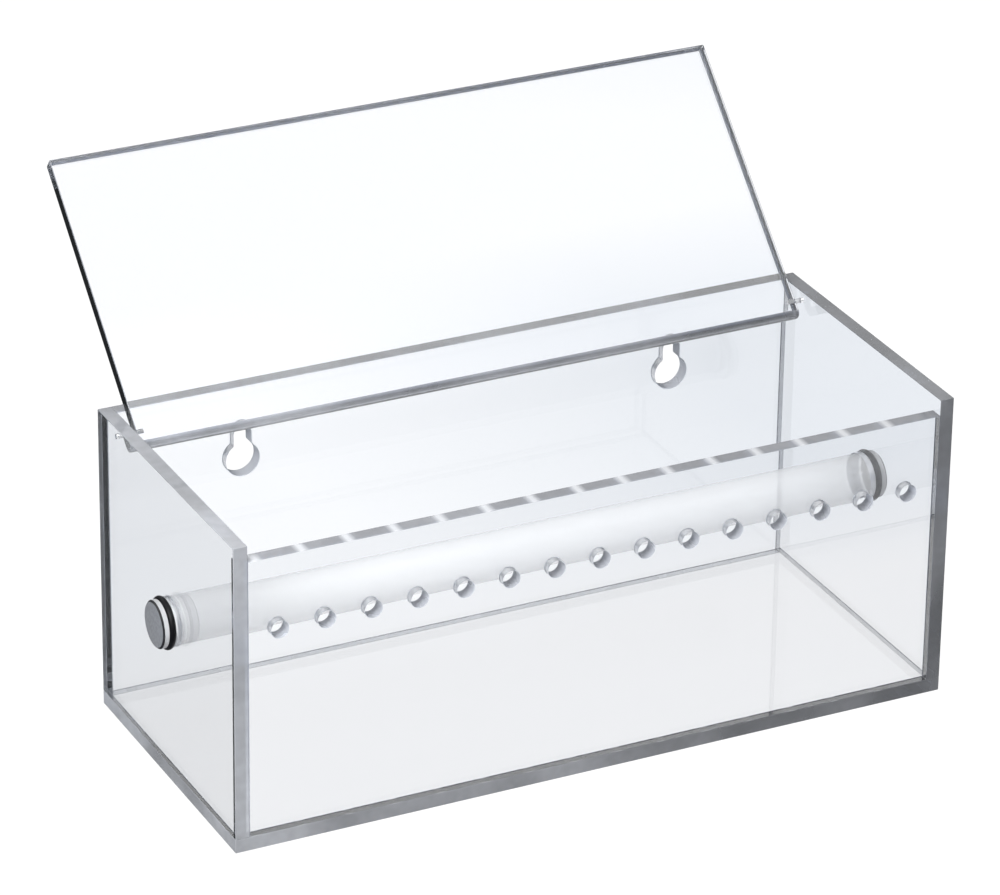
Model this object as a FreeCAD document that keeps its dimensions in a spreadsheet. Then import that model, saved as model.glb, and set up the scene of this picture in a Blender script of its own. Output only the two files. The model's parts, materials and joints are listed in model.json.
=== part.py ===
"""Clear acrylic spool dispenser box: a FreeCAD document with one object per physical piece.

Frame: millimetres, +Z up, +X along the box, +Y towards the back (wall) side.
The origin is the centre of the base panel's underside.

The box is five bonded sheets. The lid hangs on two short pins whose outer ends sit in
blind sockets in the side panels, and it leans back on the top edge of the back panel.
A clear rod runs through both side panels and two rubber rings keep it there.
"""
import FreeCAD, Part
import os
import Sketcher

# ---------------------------------------------------------------- driving dimensions
# alias, value in millimetres (or a plain count), what it is
SIZES = [
    ("box_length", 237.0, "outside length, along X"),
    ("box_depth", 100.4, "outside depth, along Y"),
    ("box_height", 100.1, "height to the top of the side and back panels"),
    ("sheet", 4.5, "thickness of every acrylic sheet"),
    ("lid_recess", 0.4, "closed lid's top below the top of the side panels"),
    ("lid_rest_gap", 0.2, "closed lid's underside above the front panel"),
    ("lid_end_gap", 2.2, "lid's end to a side panel, each end"),
    ("lid_overhang", 2.4, "closed lid's free edge past the front face"),
    ("lid_hinge_edge", 5.4, "pin axis to the lid's hinge edge"),
    ("lid_pin_offset", 0.9, "pin axis below the closed lid's middle plane"),
    ("lid_edge_flat", 0.1, "flat between the two roundings of the lid's hinge edge"),
    ("lid_swing_gap", 2.87, "lid's rounded hinge edge to the back panel as it turns"),
    ("lid_stop_gap", 0.1, "open lid's back face to the edge that it leans on"),
    ("pin_diameter", 1.5, "acrylic hinge pin"),
    ("pin_seat", 2.4, "pin's depth in the lid"),
    ("pin_socket", 2.6, "depth of the blind socket in a side panel"),
    ("pin_float", 0.2, "pin's end to the socket's bottom"),
    ("pin_clearance", 0.05, "radial clearance of the pin in its socket"),
    ("rod_diameter", 15.0, "clear spool rod"),
    ("rod_forward", 1.7, "rod's axis in front of the middle of the depth"),
    ("rod_rise", 3.2, "rod's axis above the middle of the height"),
    ("rod_clearance", 0.1, "radial clearance of the rod in a side panel"),
    ("rod_end_land", 2.0, "rod outside its ring groove"),
    ("rod_chamfer", 0.6, "chamfer on the rod's ends"),
    ("ring_section", 2.1, "rubber ring's cord diameter"),
    ("ring_wall_gap", 0.4, "rubber ring to the side panel's outer face"),
    ("ring_side_gap", 0.05, "rubber ring to each side of its groove and to its bottom"),
    ("groove_depth", 1.4, "depth of the ring groove"),
    ("outlet_count", 15, "thread outlets in the front panel"),
    ("outlet_diameter", 5.5, "thread outlet"),
    ("outlet_end_margin", 10.05, "first outlet's centre to the front panel's end"),
    ("outlet_drop", 24.0, "outlets' centres below the front panel's top edge"),
    ("keyhole_diameter", 11.0, "round part of a keyhole"),
    ("keyhole_slot", 5.8, "width of a keyhole's slot"),
    ("keyhole_travel", 8.5, "centre of the round part to the centre of the slot's top"),
    ("keyhole_shoulder", 1.0, "rounding where the slot meets the round part"),
    ("keyhole_end_margin", 40.75, "keyhole's centre to the back panel's end"),
    ("keyhole_drop", 24.1, "round part's centre below the back panel's top edge"),
]

doc = FreeCAD.newDocument("SpoolDispenser")
sheet = doc.addObject("Spreadsheet::Sheet", "Sizes")
for row, (alias, value, meaning) in enumerate(SIZES, start=1):
    sheet.set(f"A{row}", meaning)
    sheet.set(f"B{row}", str(value))
    sheet.setAlias(f"B{row}", alias)
doc.recompute()

# ---------------------------------------------------------------- derived expressions
INNER_LENGTH = "(Sizes.box_length - 2 * Sizes.sheet)"
WALL_HEIGHT = "(Sizes.box_height - Sizes.sheet)"
FRONT_HEIGHT = "(Sizes.box_height - Sizes.lid_recess - 2 * Sizes.sheet - Sizes.lid_rest_gap)"
FRONT_Y = "(-Sizes.box_depth / 2)"
BACK_INNER_Y = "(Sizes.box_depth / 2 - Sizes.sheet)"
LEFT_X = "(-Sizes.box_length / 2)"

LID_LENGTH = "(Sizes.box_length - 2 * Sizes.sheet - 2 * Sizes.lid_end_gap)"
LID_ROUNDING = "((Sizes.sheet - Sizes.lid_edge_flat) / 2)"
# The point of the rounded hinge edge furthest from the pin is on its upper rounding.
LID_REACH = (
    f"(sqrt(pow(Sizes.lid_hinge_edge - {LID_ROUNDING}; 2)"
    f" + pow(Sizes.lid_pin_offset + Sizes.lid_edge_flat / 2; 2)) + {LID_ROUNDING})"
)
HINGE_BEHIND = f"({LID_REACH} + Sizes.lid_swing_gap)"
HINGE_BELOW = "(Sizes.lid_recess + Sizes.sheet / 2 + Sizes.lid_pin_offset)"
HINGE_Y = f"({BACK_INNER_Y} - {HINGE_BEHIND})"
HINGE_Z = f"(Sizes.box_height - {HINGE_BELOW})"
LID_DEPTH = f"({HINGE_Y} + Sizes.lid_hinge_edge - {FRONT_Y} + Sizes.lid_overhang)"
# The open lid leans on the back panel's top front edge. From the pin, that edge is then as far
# away, square to the lid, as the lid's back face plus the stop gap.
EDGE_DISTANCE = f"sqrt(pow({HINGE_BEHIND}; 2) + pow({HINGE_BELOW}; 2))"
LID_LEAN = (
    f"(acos((Sizes.sheet / 2 + Sizes.lid_pin_offset + Sizes.lid_stop_gap) / {EDGE_DISTANCE})"
    f" - atan({HINGE_BELOW} / {HINGE_BEHIND}))"
)
PIN_LENGTH = "(Sizes.pin_seat + Sizes.lid_end_gap + Sizes.pin_socket - Sizes.pin_float)"

ROD_Y = "(-Sizes.rod_forward)"
ROD_Z = "(Sizes.box_height / 2 + Sizes.rod_rise)"
RING_OFFSET = "(Sizes.ring_wall_gap + Sizes.ring_section / 2)"
RING_RADIUS = (
    "(Sizes.rod_diameter / 2 - Sizes.groove_depth + Sizes.ring_side_gap"
    " + Sizes.ring_section / 2)"
)
GROOVE_START = "(Sizes.rod_end_land)"
GROOVE_END = "(Sizes.rod_end_land + Sizes.ring_section + 2 * Sizes.ring_side_gap)"
ROD_STICKOUT = f"({GROOVE_END} + Sizes.ring_wall_gap - Sizes.ring_side_gap)"
ROD_LENGTH = f"(Sizes.box_length + 2 * {ROD_STICKOUT})"

OUTLET_RUN = f"({INNER_LENGTH} - 2 * Sizes.outlet_end_margin)"
KEYHOLE_RUN = f"({INNER_LENGTH} - 2 * Sizes.keyhole_end_margin)"

UPRIGHT_ALONG_X = FreeCAD.Rotation(FreeCAD.Vector(1, 0, 0), 90)  # sketch y goes up, z to -Y
UPRIGHT_ALONG_Y = FreeCAD.Rotation(FreeCAD.Vector(1, 1, 1), 120)  # x to Y, y to Z, z to X
AXIS_ALONG_X = FreeCAD.Rotation(FreeCAD.Vector(0, 1, 0), 90)  # local z to X

sub_parts = []


# ---------------------------------------------------------------- helpers
def bind(obj, bindings):
    """Bind each property path of obj to its expression."""
    for path, expression in bindings.items():
        obj.setExpression(path, expression)


def place(obj, x="0", y="0", z="0"):
    """Bind the obj's position, in millimetres."""
    bind(obj, {f"Placement.Base.{axis}": e for axis, e in zip("xyz", (x, y, z))})


def new_body(label, rotation=None):
    body = doc.addObject("PartDesign::Body", label)
    body.Label = label
    if rotation:
        body.Placement.Rotation = rotation
    sub_parts.append(body)
    return body


def new_sketch(body, name, plane="XY_Plane", offset=("0", "0", "0")):
    """A sketch on one of the body's own origin planes, moved by three expressions."""
    sketch = body.newObject("Sketcher::SketchObject", name)
    origin_plane = next(f for f in body.Origin.OriginFeatures if f.Role == plane)
    sketch.AttachmentSupport = [(origin_plane, "")]
    sketch.MapMode = "FlatFace"
    bind(sketch, {f"AttachmentOffset.Base.{axis}": e for axis, e in zip("xyz", offset)})
    return sketch


def pin_point(sketch, geometry, point, x, y):
    """Hold one point of a sketch at (x, y), two expressions in the sketch's own plane."""
    for kind, expression in (("DistanceX", x), ("DistanceY", y)):
        here = sketch.getPoint(geometry, point)
        start = here.x if kind == "DistanceX" else here.y
        constraint = Sketcher.Constraint(kind, -1, 1, geometry, point, start)
        index = sketch.addConstraint(constraint)
        sketch.setExpression(f"Constraints[{index}]", expression)


def value_of(expression):
    """The number that an expression has now, in millimetres or degrees."""
    result = sheet.evalExpression(expression)
    return float(getattr(result, "Value", result))


def outline(sketch, corners):
    """A closed outline of straight lines through corners, each a pair of expressions."""
    points = [FreeCAD.Vector(value_of(x), value_of(y), 0) for x, y in corners]
    for i, (x, y) in enumerate(corners):
        line = sketch.addGeometry(Part.LineSegment(points[i], points[(i + 1) % len(points)]), False)
        pin_point(sketch, line, 1, x, y)
    for i in range(len(corners)):
        sketch.addConstraint(Sketcher.Constraint("Coincident", i, 2, (i + 1) % len(corners), 1))


def rectangle(sketch, width, height):
    outline(sketch, [("0", "0"), (width, "0"), (width, height), ("0", height)])


def circle(sketch, x, y, diameter):
    """A circle with a bound centre and diameter."""
    centre = FreeCAD.Vector(value_of(x), value_of(y), 0)
    radius = value_of(diameter) / 2
    ring = sketch.addGeometry(Part.Circle(centre, FreeCAD.Vector(0, 0, 1), radius), False)
    pin_point(sketch, ring, 3, x, y)
    index = sketch.addConstraint(Sketcher.Constraint("Diameter", ring, 2 * radius))
    sketch.setExpression(f"Constraints[{index}]", diameter)


def pad(body, sketch, length):
    feature = body.newObject("PartDesign::Pad", f"{body.Name}_pad")
    feature.Profile = sketch
    bind(feature, {"Length": length})
    sketch.Visibility = False
    doc.recompute()
    return feature


def pocket(body, sketch, depth=None, reverse=False):
    """Cut a sketch out of the body: right through, or to a depth. It must remove material."""
    before = body.Tip.Shape.Volume
    feature = body.newObject("PartDesign::Pocket", f"{body.Name}_cut")
    feature.Profile = sketch
    if depth is None:
        feature.Type = "ThroughAll"
        feature.Midplane = True
    else:
        feature.Type = "Length"
        feature.Reversed = reverse
        bind(feature, {"Length": depth})
    doc.recompute()
    if not feature.Shape.Volume < before:
        raise RuntimeError(f"{feature.Label} removes nothing")
    return feature


def repeat_along(body, features, sketch, run, count):
    """Repeat features along the sketch's horizontal axis: count places over the length run."""
    before = body.Tip.Shape.Volume
    pattern = body.newObject("PartDesign::LinearPattern", f"{body.Name}_row")
    pattern.Originals = features
    pattern.Direction = (sketch, ["H_Axis"])
    bind(pattern, {"Length": run, "Occurrences": count})
    body.Tip = pattern
    doc.recompute()
    if not pattern.Shape.Volume < before:
        raise RuntimeError(f"{pattern.Label} repeats nothing")
    return pattern


# ---------------------------------------------------------------- the bonded box
def make_base_panel():
    """The bottom sheet, which the four walls stand on."""
    body = new_body("base_panel")
    sketch = new_sketch(body, "base_outline")
    rectangle(sketch, "Sizes.box_length", "Sizes.box_depth")
    pad(body, sketch, "Sizes.sheet")
    place(body, LEFT_X, FRONT_Y)


def make_front_panel():
    """The front sheet, lower than the sides so that the lid lies on it, with its outlets."""
    body = new_body("front_panel", UPRIGHT_ALONG_X)
    sketch = new_sketch(body, "front_outline")
    rectangle(sketch, INNER_LENGTH, FRONT_HEIGHT)
    pad(body, sketch, "Sizes.sheet")
    holes = new_sketch(body, "outlet_outline")
    outlet_y = f"{FRONT_HEIGHT} - Sizes.outlet_drop"
    circle(holes, "Sizes.outlet_end_margin", outlet_y, "Sizes.outlet_diameter")
    first = pocket(body, holes)
    repeat_along(body, [first], holes, OUTLET_RUN, "Sizes.outlet_count")
    place(body, f"{LEFT_X} + Sizes.sheet", f"{FRONT_Y} + Sizes.sheet", "Sizes.sheet")


def make_back_panel():
    """The wall-side sheet with two keyholes, each a round part and a slot above it."""
    body = new_body("back_panel", UPRIGHT_ALONG_X)
    sketch = new_sketch(body, "back_outline")
    rectangle(sketch, INNER_LENGTH, WALL_HEIGHT)
    pad(body, sketch, "Sizes.sheet")
    centre_y = f"({WALL_HEIGHT} - Sizes.keyhole_drop)"
    rounds = new_sketch(body, "keyhole_round_outline")
    circle(rounds, "Sizes.keyhole_end_margin", centre_y, "Sizes.keyhole_diameter")
    round_cut = pocket(body, rounds)
    slots = new_sketch(body, "keyhole_slot_outline")
    left = "(Sizes.keyhole_end_margin - Sizes.keyhole_slot / 2)"
    right = "(Sizes.keyhole_end_margin + Sizes.keyhole_slot / 2)"
    top = f"({centre_y} + Sizes.keyhole_travel)"
    outline(slots, [(left, centre_y), (right, centre_y), (right, top), (left, top)])
    slot_cut = pocket(body, slots)
    ends = new_sketch(body, "keyhole_top_outline")
    circle(ends, "Sizes.keyhole_end_margin", top, "Sizes.keyhole_slot")
    end_cut = pocket(body, ends)
    row = repeat_along(body, [round_cut, slot_cut, end_cut], rounds, KEYHOLE_RUN, "2")
    round_shoulders(body, row, centre_y)
    place(body, f"{LEFT_X} + Sizes.sheet", "Sizes.box_depth / 2", "Sizes.sheet")


def round_shoulders(body, row, centre_y):
    """Round the four edges where a keyhole's slot runs into its round part."""
    half_slot = value_of("Sizes.keyhole_slot / 2")
    radius = value_of("Sizes.keyhole_diameter / 2")
    edge_y = value_of(centre_y) + (radius**2 - half_slot**2) ** 0.5
    first = value_of("Sizes.keyhole_end_margin")
    centres = (first, first + value_of(KEYHOLE_RUN))
    corners = [(c + side * half_slot, edge_y) for c in centres for side in (-1, 1)]

    def is_corner(edge):
        ends = [v.Point for v in edge.Vertexes]
        return len(ends) == 2 and any(
            all(abs(p.x - x) < 1e-4 and abs(p.y - y) < 1e-4 for p in ends) for x, y in corners
        )

    names = [f"Edge{n}" for n, edge in enumerate(row.Shape.Edges, start=1) if is_corner(edge)]
    if len(names) != len(corners):
        raise RuntimeError("the keyholes' shoulder edges weren't found")
    fillet = body.newObject("PartDesign::Fillet", "keyhole_shoulders")
    fillet.Base = (row, names)
    bind(fillet, {"Radius": "Sizes.keyhole_shoulder"})


def make_side_panel(label, x, inner_face, socket_reversed):
    """A side sheet with the rod's hole and, on its inner face, the hinge pin's blind socket."""
    body = new_body(label, UPRIGHT_ALONG_Y)
    sketch = new_sketch(body, f"{label}_outline")
    rectangle(sketch, "Sizes.box_depth", WALL_HEIGHT)
    pad(body, sketch, "Sizes.sheet")
    rod_hole = new_sketch(body, f"{label}_rod_hole")
    rod_bore = "(Sizes.rod_diameter + 2 * Sizes.rod_clearance)"
    circle(rod_hole, f"{ROD_Y} - {FRONT_Y}", f"{ROD_Z} - Sizes.sheet", rod_bore)
    pocket(body, rod_hole)
    socket = new_sketch(body, f"{label}_socket", offset=("0", "0", inner_face))
    pin_bore = "(Sizes.pin_diameter + 2 * Sizes.pin_clearance)"
    circle(socket, f"{HINGE_Y} - {FRONT_Y}", f"{HINGE_Z} - Sizes.sheet", pin_bore)
    pocket(body, socket, "Sizes.pin_socket", socket_reversed)
    place(body, x, FRONT_Y, "Sizes.sheet")


# ---------------------------------------------------------------- the lid and its pins
def make_lid():
    """The lid, leaning back as it stands open. Its own origin is the middle of the pin axis."""
    body = new_body("lid")
    back_face = "-Sizes.sheet / 2 - Sizes.lid_pin_offset"
    sketch = new_sketch(body, "lid_outline", offset=(f"-{LID_LENGTH} / 2", "-Sizes.lid_hinge_edge", back_face))
    rectangle(sketch, LID_LENGTH, LID_DEPTH)
    round_hinge_edge(body, pad(body, sketch, "Sizes.sheet"))
    for side, sign, reverse in (("left", "-", True), ("right", "", False)):
        end = f"{sign}{LID_LENGTH} / 2"
        hole = new_sketch(body, f"lid_pin_hole_{side}", "YZ_Plane", ("0", "0", end))
        circle(hole, "0", "0", "Sizes.pin_diameter")
        pocket(body, hole, "Sizes.pin_seat", reverse)
    body.Placement.Rotation = FreeCAD.Rotation(FreeCAD.Vector(1, 0, 0), 90 - value_of(LID_LEAN))
    bind(body, {"Placement.Rotation.Angle": f"90 deg - {LID_LEAN}"})
    place(body, "0", HINGE_Y, HINGE_Z)


def round_hinge_edge(body, blank):
    """Round the lid's hinge edge over both faces, so that it clears the back panel as it turns."""
    edge_y = -value_of("Sizes.lid_hinge_edge")

    def is_long_hinge_edge(edge):
        ends = [v.Point for v in edge.Vertexes]
        return all(abs(p.y - edge_y) < 1e-4 for p in ends) and abs(ends[0].x - ends[1].x) > 1

    names = [f"Edge{n}" for n, edge in enumerate(blank.Shape.Edges, start=1) if is_long_hinge_edge(edge)]
    if len(names) != 2:
        raise RuntimeError("the lid's two hinge edges weren't found")
    fillet = body.newObject("PartDesign::Fillet", "lid_hinge_rounding")
    fillet.Base = (blank, names)
    bind(fillet, {"Radius": LID_ROUNDING})
    doc.recompute()


def make_hinge_pin(label, start_x):
    """A clear acrylic pin, glued into the lid's end and turning in the side panel's socket."""
    pin = doc.addObject("Part::Cylinder", label)
    pin.Label = label
    pin.Placement.Rotation = AXIS_ALONG_X
    bind(pin, {"Radius": "Sizes.pin_diameter / 2", "Height": PIN_LENGTH})
    place(pin, start_x, HINGE_Y, HINGE_Z)
    sub_parts.append(pin)


# ---------------------------------------------------------------- the rod and its rings
def make_rod():
    """The clear rod: half its section, with a ring groove and a chamfer at each end, revolved."""
    body = new_body("rod")
    sketch = new_sketch(body, "rod_half_section", offset=(f"-{ROD_LENGTH} / 2", "0", "0"))
    radius = "(Sizes.rod_diameter / 2)"
    floor = "(Sizes.rod_diameter / 2 - Sizes.groove_depth)"
    near_end = [
        ("0", "0"),
        ("0", f"{radius} - Sizes.rod_chamfer"),
        ("Sizes.rod_chamfer", radius),
        (GROOVE_START, radius),
        (GROOVE_START, floor),
        (GROOVE_END, floor),
        (GROOVE_END, radius),
    ]
    far_end = [(f"{ROD_LENGTH} - {x}", y) for x, y in reversed(near_end)]
    outline(sketch, near_end + far_end)
    turned = body.newObject("PartDesign::Revolution", "rod_turned")
    turned.Profile = sketch
    turned.ReferenceAxis = (sketch, ["H_Axis"])
    turned.Angle = 360
    place(body, "0", ROD_Y, ROD_Z)


def make_ring(label, x):
    """A rubber ring in its groove, just outside a side panel."""
    ring = doc.addObject("Part::Torus", label)
    ring.Label = label
    ring.Placement.Rotation = AXIS_ALONG_X
    bind(ring, {"Radius1": RING_RADIUS, "Radius2": "Sizes.ring_section / 2"})
    place(ring, x, ROD_Y, ROD_Z)
    sub_parts.append(ring)


# ---------------------------------------------------------------- build, check, write
def check_document():
    for obj in doc.Objects:
        if "Invalid" in obj.State or "Error" in obj.State:
            raise RuntimeError(f"{obj.Label} failed: {obj.State}")
    for part in sub_parts:
        if part.Shape.isNull() or not part.Shape.isValid() or len(part.Shape.Solids) != 1:
            raise RuntimeError(f"{part.Label} isn't one valid solid")


make_base_panel()
make_front_panel()
make_back_panel()
make_side_panel("left_side_panel", LEFT_X, "Sizes.sheet", False)
make_side_panel("right_side_panel", "Sizes.box_length / 2 - Sizes.sheet", "0", True)
make_lid()
make_hinge_pin("hinge_pin_left", f"{LEFT_X} + Sizes.sheet - Sizes.pin_socket + Sizes.pin_float")
make_hinge_pin("hinge_pin_right", f"{LID_LENGTH} / 2 - Sizes.pin_seat")
make_rod()
make_ring("o_ring_left", f"{LEFT_X} - {RING_OFFSET}")
make_ring("o_ring_right", f"-{LEFT_X} + {RING_OFFSET}")
doc.recompute()
check_document()

os.makedirs("parts", exist_ok=True)
for part in sub_parts:
    part.Shape.exportStep(f"parts/{part.Label}.step")
    box = part.Shape.BoundBox
    print(
        f"{part.Label}: volume {part.Shape.Volume:.1f} mm3,"
        f" x {box.XMin:.3f} to {box.XMax:.3f}, y {box.YMin:.3f} to {box.YMax:.3f},"
        f" z {box.ZMin:.3f} to {box.ZMax:.3f}"
    )
print(f"hinge axis at y {value_of(HINGE_Y):.4f}, z {value_of(HINGE_Z):.4f}, lean {value_of(LID_LEAN):.3f}")
print(f"rod axis at y {value_of(ROD_Y):.3f}, z {value_of(ROD_Z):.3f}, length {value_of(ROD_LENGTH):.3f}")
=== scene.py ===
"""A clear acrylic spool dispenser box: a bonded five-sheet box, a hinged lid, a rod and its two rings.

Each sheet is a slab whose faces are flat grids, whose arrises are quarter rounds and whose holes are
outlines carried through its thickness. The rod and the pins are turned from a profile.
"""

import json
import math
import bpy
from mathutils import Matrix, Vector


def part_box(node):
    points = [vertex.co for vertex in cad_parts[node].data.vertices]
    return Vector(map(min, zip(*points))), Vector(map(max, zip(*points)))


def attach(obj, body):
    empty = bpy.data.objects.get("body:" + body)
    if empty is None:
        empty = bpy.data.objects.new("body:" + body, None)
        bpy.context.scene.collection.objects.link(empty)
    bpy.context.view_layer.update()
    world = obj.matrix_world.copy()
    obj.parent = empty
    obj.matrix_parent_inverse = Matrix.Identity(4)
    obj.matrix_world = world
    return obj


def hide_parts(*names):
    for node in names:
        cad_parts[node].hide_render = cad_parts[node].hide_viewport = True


bl_info = {
    "name": "Acrylic Spool Dispenser Box",
    "version": (1, 0, 0),
    "blender": (4, 5, 0),
    "location": "View3D > Sidebar > Spool Box",
    "description": "Builds a clear acrylic spool dispenser box round its packed model",
    "category": "Add Mesh",
}

import bmesh
import bpy
import numpy as np
from bpy.props import FloatProperty, FloatVectorProperty, IntProperty, PointerProperty
from mathutils import Matrix, Vector

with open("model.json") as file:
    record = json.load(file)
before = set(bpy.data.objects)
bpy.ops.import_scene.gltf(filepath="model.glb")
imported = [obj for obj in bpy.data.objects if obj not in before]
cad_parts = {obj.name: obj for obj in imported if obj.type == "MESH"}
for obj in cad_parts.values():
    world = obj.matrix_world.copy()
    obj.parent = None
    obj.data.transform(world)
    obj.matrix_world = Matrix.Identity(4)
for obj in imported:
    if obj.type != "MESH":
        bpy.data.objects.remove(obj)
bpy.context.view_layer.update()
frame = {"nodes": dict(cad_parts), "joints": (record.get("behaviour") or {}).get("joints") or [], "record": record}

MM = 0.001
MOUNTS = {mount["name"]: mount for mount in frame["record"]["mounts"]}
JOINTS = {joint["name"]: joint for joint in frame["joints"]}
ROD_CENTRE = JOINTS["rod_spin"]["pos_m"]
HINGE_CENTRE = JOINTS["lid_hinge"]["pos_m"]
MERGE = 1e-6
# flat rings round a hole's mouth, and points along each face of the lid's section
MOUTH_RINGS, LID_POINTS = 3, 14
# how far left of the outlets the painted glints, pale spots on the front sheet's top edge, stand, and half their
# width
GLINT_SHIFT, GLINT_HALF = 7.6 * MM, 2.3 * MM
# half the length along which the worked edges' haze is scaled from the box's left end to its right end: painted
# light and shade, lighter toward the left end and darker toward the right
SHADE_FALL_HALF = 0.12

FLOOR_HALF, FLOOR_DROP = 6.0, 0.6 * MM
# the floor as the sheets show it, with painted shade: a painted soft shadow of the box, greyer behind it
# and to its right, and a painted darker distance. Rows of a place behind the box's middle, in metres, and
# the colour there. The left rows turn into the right ones along FLOOR_TURN, and both into the far colour
# along FLOOR_REACH, the distance from the middle.
FLOOR_SHADE_LEFT = ((0.03, (0.94, 0.94, 0.945)), (0.10, (0.96, 0.975, 0.995)), (0.26, (0.95, 0.965, 0.99)),
              (0.31, (0.89, 0.90, 0.92)))
FLOOR_SHADE_RIGHT = ((0.03, (0.92, 0.92, 0.925)), (0.10, (0.80, 0.83, 0.87)), (0.24, (0.78, 0.81, 0.85)),
               (0.31, (0.89, 0.90, 0.92)))
FLOOR_SHADE_FAR = (0.74, 0.78, 0.84)
FLOOR_TURN, FLOOR_REACH = (0.0, 0.16), (0.46, 0.70)

# the room's colours by how high one looks: dark low down and white higher up
SKY = ((0.14, (0.10, 0.11, 0.12)), (0.48, (1, 1, 1)))
# each soft light's name, place, the point it is aimed at, its size and its power
SOFTBOXES = (
    ("softbox_top", (0.50, -0.42, 1.40), (0, 0, 0.05), (1.3, 1.6), 7.0),
    ("softbox_left", (-0.42, -0.26, 0.40), (-0.05, 0, 0.05), (0.25, 0.35), 3.2),
)


# ---------------------------------------------------------------- settings


class SPOOLBOX_PG_sizes(bpy.types.PropertyGroup):
    """Sizes that finish the sheets, the rod and the rings."""

    arris: FloatProperty(
        name="Arris", description="Radius scraped on every edge of a sheet",
        default=0.22 * MM, min=0.02 * MM, unit="LENGTH", subtype="DISTANCE")
    lid_easing: FloatProperty(
        name="Lid easing", description="Radius eased on the ends and the free edge of the lid's outer face",
        default=0.9 * MM, min=0.05 * MM, unit="LENGTH", subtype="DISTANCE")
    lid_rounding: FloatProperty(
        name="Lid hinge rounding", description="Radius over both faces of the lid's hinge edge",
        default=2.2 * MM, min=0.1 * MM, unit="LENGTH", subtype="DISTANCE")
    rim: FloatProperty(
        name="Hole rim", description="Radius polished on the rims of the drilled holes",
        default=0.15 * MM, min=0.02 * MM, unit="LENGTH", subtype="DISTANCE")
    bond: FloatProperty(
        name="Bond", description="How far one sheet sinks into the next where the solvent has joined them",
        default=0.03 * MM, min=0.0, unit="LENGTH", subtype="DISTANCE")
    slot_width: FloatProperty(
        name="Keyhole slot", description="Width of the slot above each keyhole",
        default=5.8 * MM, min=1 * MM, unit="LENGTH", subtype="DISTANCE")
    slot_travel: FloatProperty(
        name="Keyhole travel", description="How far a screw slides up from the round part to the slot's end",
        default=8.5 * MM, min=1 * MM, unit="LENGTH", subtype="DISTANCE")
    slot_shoulder: FloatProperty(
        name="Keyhole shoulder", description="Radius where the slot meets the round part",
        default=1.0 * MM, min=0.1 * MM, unit="LENGTH", subtype="DISTANCE")
    rod_clearance: FloatProperty(
        name="Rod clearance", description="Gap round the rod in the side panels' holes",
        default=0.1 * MM, min=0.0, unit="LENGTH", subtype="DISTANCE")
    socket_clearance: FloatProperty(
        name="Pin clearance", description="Gap round a hinge pin in its socket",
        default=0.05 * MM, min=0.0, unit="LENGTH", subtype="DISTANCE")
    socket_depth: FloatProperty(
        name="Socket depth", description="Depth of a hinge pin's blind socket",
        default=2.6 * MM, min=0.5 * MM, unit="LENGTH", subtype="DISTANCE")
    end_land: FloatProperty(
        name="End land", description="Length of the rod beyond its ring groove",
        default=2.0 * MM, min=0.5 * MM, unit="LENGTH", subtype="DISTANCE")
    groove_width: FloatProperty(
        name="Groove width", description="Width of the ring groove",
        default=2.2 * MM, min=0.5 * MM, unit="LENGTH", subtype="DISTANCE")
    groove_depth: FloatProperty(
        name="Groove depth", description="Depth of the ring groove",
        default=1.4 * MM, min=0.2 * MM, unit="LENGTH", subtype="DISTANCE")
    rod_chamfer: FloatProperty(
        name="Rod chamfer", description="Chamfer on the rod's ends",
        default=0.6 * MM, min=0.05 * MM, unit="LENGTH", subtype="DISTANCE")
    mould_line: FloatProperty(
        name="Mould line", description="Height of the moulding flash round a ring",
        default=0.02 * MM, min=0.0, unit="LENGTH", subtype="DISTANCE")
    arc_steps: IntProperty(
        name="Arc steps", description="Faces across each rounded arris or rim", default=3, min=1, max=12)


class SPOOLBOX_PG_finishes(bpy.types.PropertyGroup):
    """Colours and finishes."""

    tint: FloatVectorProperty(
        name="Sheet tint", description="What a long way through the acrylic leaves of white light",
        default=(0.28, 0.36, 0.50), size=3, min=0.0, max=1.0, subtype="COLOR")
    tint_strength: FloatProperty(
        name="Tint strength", description="Absorption per metre", default=13.0, min=0.0)
    ior: FloatProperty(
        name="Refraction", description="Refractive index of acrylic", default=1.49, min=1.0, max=2.0)
    rubber: FloatVectorProperty(
        name="Rubber", description="Colour of the rings",
        default=(0.004, 0.004, 0.005), size=3, min=0.0, max=1.0, subtype="COLOR")


class SPOOLBOX_PG_studio(bpy.types.PropertyGroup):
    """The camera, the floor and the lights."""

    azimuth: FloatProperty(
        name="Azimuth", description="Camera's direction round the box",
        default=math.radians(-26.409), subtype="ANGLE", unit="ROTATION")
    elevation: FloatProperty(
        name="Elevation", description="Camera's height above the horizon",
        default=math.radians(26.264), subtype="ANGLE", unit="ROTATION")
    roll: FloatProperty(
        name="Roll", description="Camera's turn about its own axis",
        default=math.radians(0.7586), subtype="ANGLE", unit="ROTATION")
    distance: FloatProperty(
        name="Distance", description="From the camera to the point it aims at",
        default=1.6287, min=0.1, unit="LENGTH", subtype="DISTANCE")
    aim: FloatVectorProperty(
        name="Aim", description="Point the camera aims at",
        default=(-0.03087, -0.03453, 0.10742), size=3, unit="LENGTH", subtype="XYZ")
    lens: FloatProperty(name="Lens", description="Focal length in mm", default=200.78, min=10.0)
    shift: FloatVectorProperty(
        name="Shift", description="Sideways and upward shift of the frame", default=(0.014, -0.0006), size=2)
    floor_light: FloatProperty(
        name="Floor light", description="How brightly the pale floor glows", default=1.06, min=0.0)


def settings():
    """The scene's sizes, finishes and studio settings."""
    scene = bpy.context.scene
    return scene.spoolbox_sizes, scene.spoolbox_finishes, scene.spoolbox_studio


# ---------------------------------------------------------------- surfaces


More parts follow.
